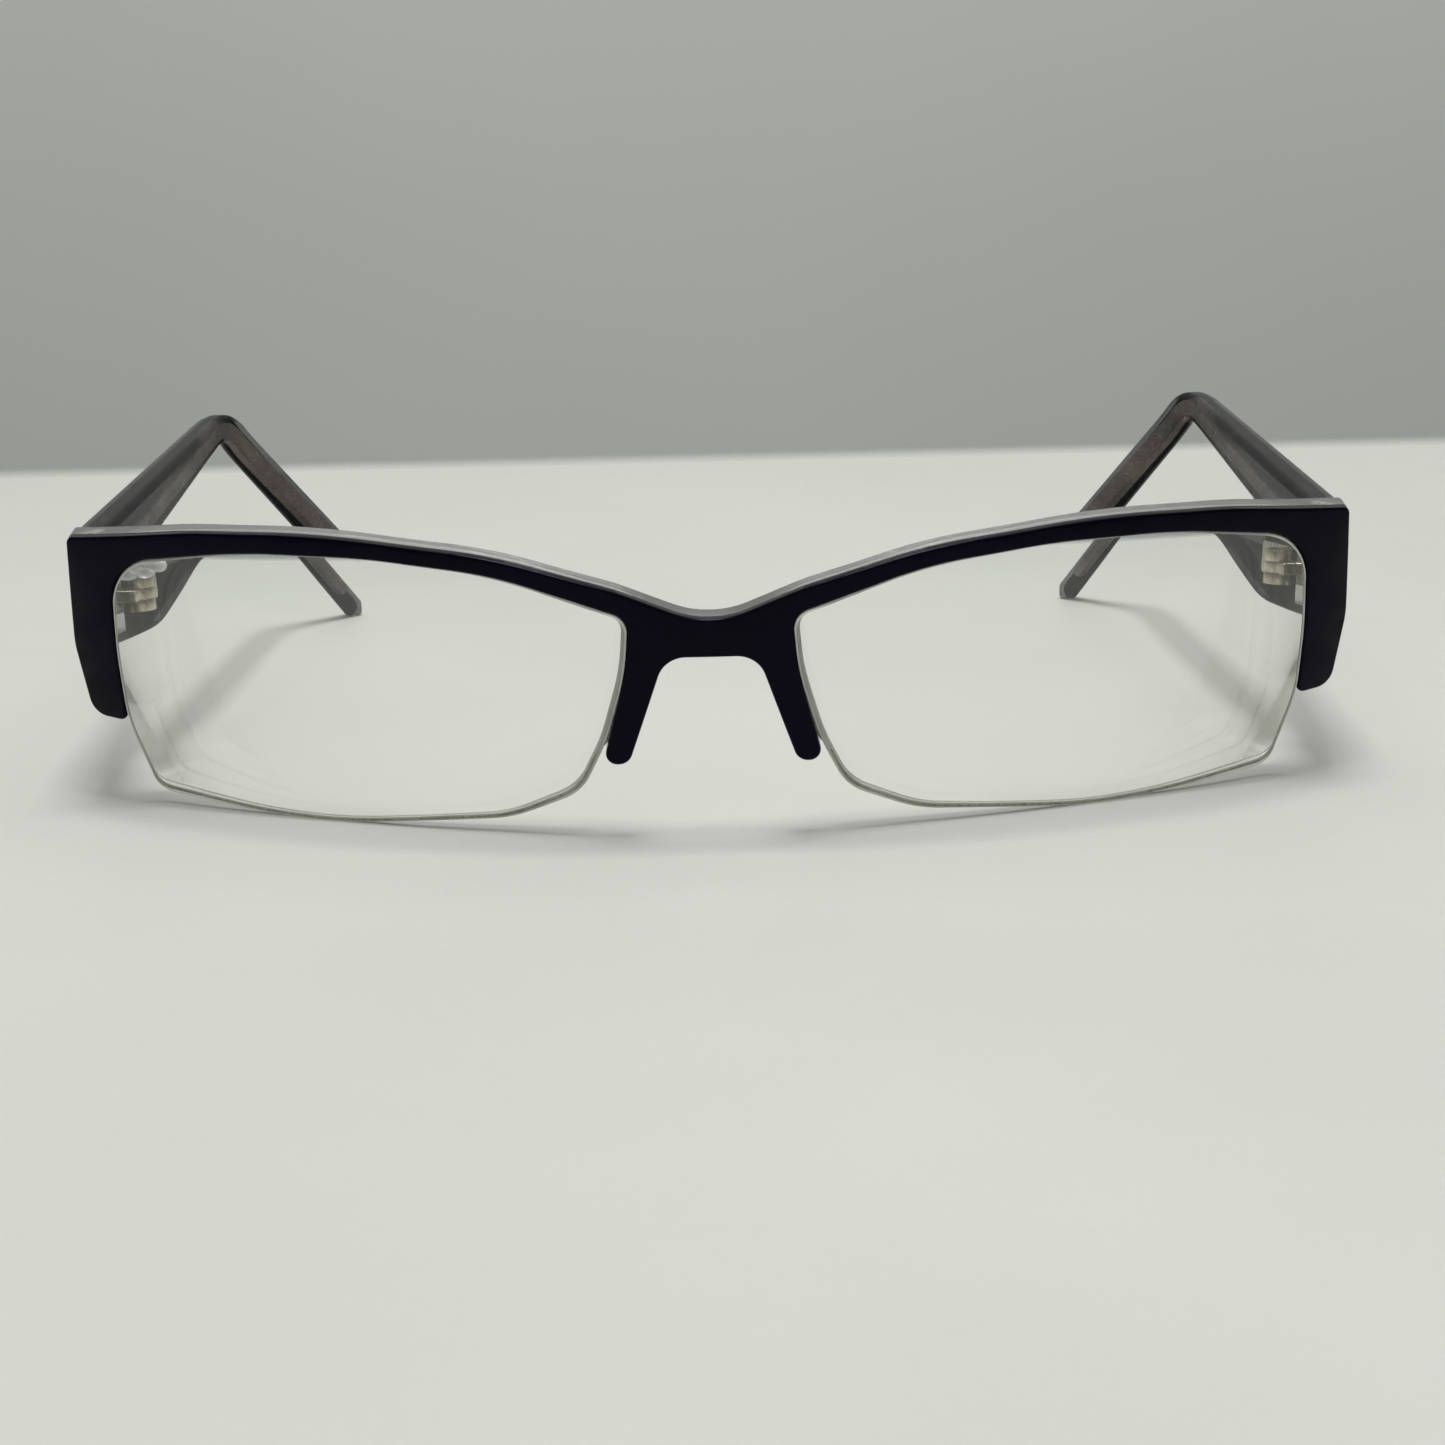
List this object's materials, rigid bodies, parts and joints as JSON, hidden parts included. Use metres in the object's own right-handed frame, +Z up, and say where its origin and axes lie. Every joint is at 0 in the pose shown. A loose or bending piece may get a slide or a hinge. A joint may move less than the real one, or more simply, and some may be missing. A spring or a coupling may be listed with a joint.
{
  "type": "eyeglasses",
  "caption": "Half-rim spectacles: laminated acetate front, prescription lenses held by nylon cords, and folding acetate temples on barrel hinges.",
  "frame": {"origin": "on the surface the open spectacles stand on, under the middle of the whole pair", "axes": "+X towards the wearer's left, +Y from the face of the front back to the ears, +Z up"},
  "size_m": [0.137, 0.1354, 0.0321],
  "materials": {
    "dark_acetate": "polished near-black aubergine cellulose acetate",
    "crystal_acetate": "polished clear crystal cellulose acetate",
    "smoke_acetate": "polished smoke-grey translucent cellulose acetate",
    "lens": "clear polished polycarbonate, ground edge",
    "nylon": "clear drawn nylon, slightly aged",
    "hinge_metal": "nickel silver, lightly tarnished",
    "screw_metal": "plated steel",
    "core_metal": "nickel silver wire",
    "clear_glue": "clear cured adhesive with bubbles"
  },
  "bodies": {
    "front": {"front_face_ply": "dark_acetate", "front_back_ply": "crystal_acetate", "right_hinge_glue_bead": "clear_glue", "left_lens": "lens", "left_retaining_cord": "nylon", "left_rim_liner": "nylon", "left_front_hinge_leaf": "hinge_metal", "right_lens": "lens", "right_retaining_cord": "nylon", "right_rim_liner": "nylon", "right_front_hinge_leaf": "hinge_metal"},
    "left_temple": {"left_temple_outer_ply": "dark_acetate", "left_temple_inner_ply": "smoke_acetate", "left_temple_core_wire": "core_metal", "left_temple_hinge_leaf": "hinge_metal", "left_hinge_screw": "screw_metal"},
    "right_temple": {"right_temple_outer_ply": "dark_acetate", "right_temple_inner_ply": "smoke_acetate", "right_temple_core_wire": "core_metal", "right_temple_hinge_leaf": "hinge_metal", "right_hinge_screw": "screw_metal"}
  },
  "joints": [
    {"name": "left_temple_fold", "type": "hinge", "parent": "front", "child": "left_temple", "pos_m": [0.0632, -0.04007, 0.0226], "axis": [0, 0, 1], "range_deg": [0, 88]},
    {"name": "right_temple_fold", "type": "hinge", "parent": "front", "child": "right_temple", "pos_m": [-0.0632, -0.04007, 0.0226], "axis": [0, 0, -1], "range_deg": [0, 81]}
  ]
}
